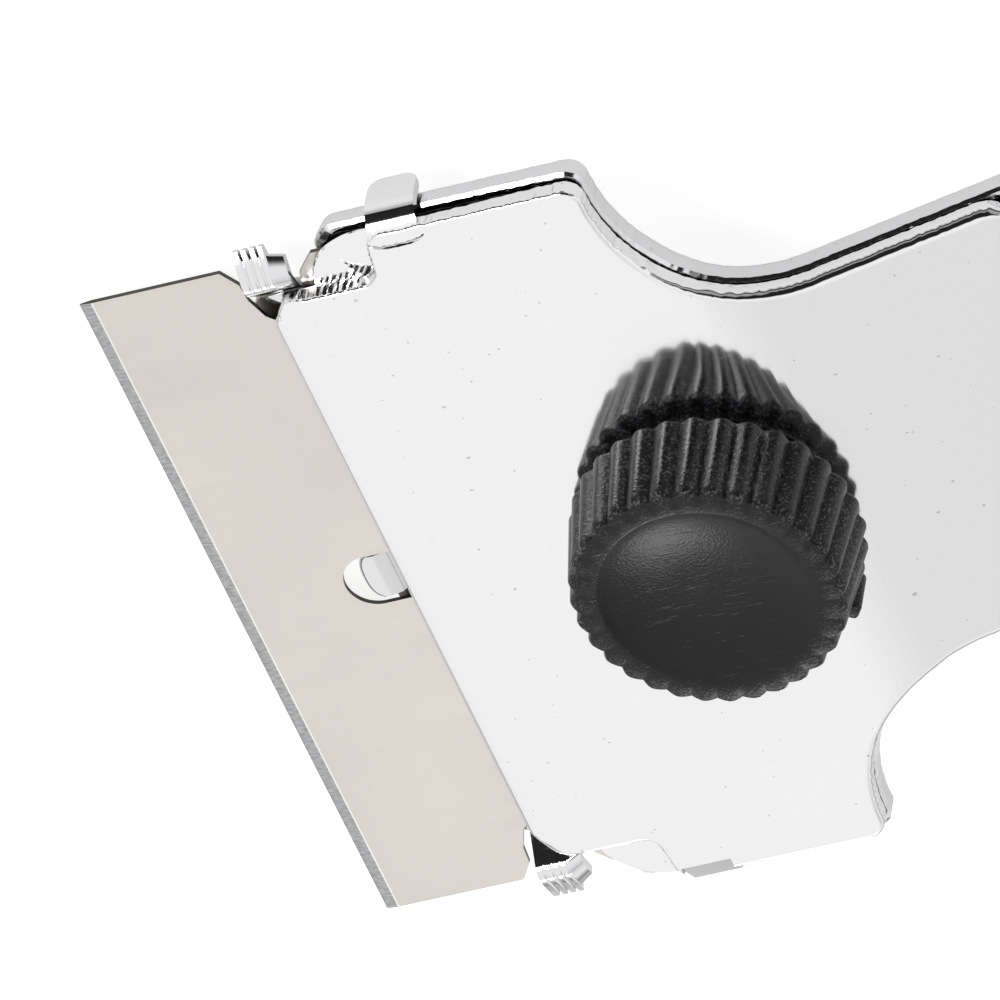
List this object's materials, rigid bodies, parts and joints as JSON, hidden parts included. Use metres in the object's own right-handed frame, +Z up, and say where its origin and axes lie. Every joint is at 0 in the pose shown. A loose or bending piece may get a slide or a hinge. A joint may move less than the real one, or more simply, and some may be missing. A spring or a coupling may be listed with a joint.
{
  "type": "razor scraper",
  "caption": "Pressed-steel hand scraper with a bent handle, a T-shaped head that clamps a notched single-edge razor blade, and a fluted knob that tightens the clamp plate.",
  "frame": {"origin": "bottom centre of the tool's box, on the table under its middle, as it lies on the cutting edge and the end of the handle", "axes": "+X from the cutting edge to the tail of the handle, +Y across the blade, +Z up on the knob's side"},
  "size_m": [0.1118, 0.0426, 0.0132],
  "materials": {
    "base_plate": "bright nickel-chrome plating on pressed steel",
    "cover_plate": "bright nickel-chrome plating on pressed steel",
    "handle_cover": "bright nickel-chrome plating on pressed steel",
    "razor_blade": "satin carbon steel with a ground edge",
    "clamp_stud": "zinc-plated steel",
    "knob_washer": "zinc-plated steel",
    "knob_insert": "turned brass",
    "clamp_knob": "black moulded plastic, fine matt",
    "handle_rivet": "plated steel",
    "tail_eyelet": "plated steel"
  },
  "bodies": {
    "base": {"base_plate": "base_plate", "handle_cover": "handle_cover", "clamp_stud": "clamp_stud", "handle_rivet": "handle_rivet", "tail_eyelet": "tail_eyelet"},
    "cover": {"cover_plate": "cover_plate"},
    "knob": {"clamp_knob": "clamp_knob", "knob_insert": "knob_insert", "knob_washer": "knob_washer"},
    "blade": {"razor_blade": "razor_blade"}
  },
  "joints": [
    {"name": "cover_lift", "type": "slide", "parent": "base", "child": "cover", "axis": [-0.2106, 0, 0.9776], "range_m": [0, 0.0021]},
    {"name": "knob_turn", "type": "hinge", "parent": "cover", "child": "knob", "pos_m": [-0.03232, 0, 0.0065], "axis": [-0.2106, 0, 0.9776], "range_deg": [0, 1085]},
    {"name": "blade_lift", "type": "slide", "parent": "base", "child": "blade", "axis": [-0.2106, 0, 0.9776], "range_m": [0, 0.00138]}
  ],
  "couplings": [
    {"joint": "knob_turn", "follows": "cover_lift", "rad_per_m": 8976},
    {"joint": "blade_lift", "follows": "cover_lift", "ratio": 0.65}
  ]
}
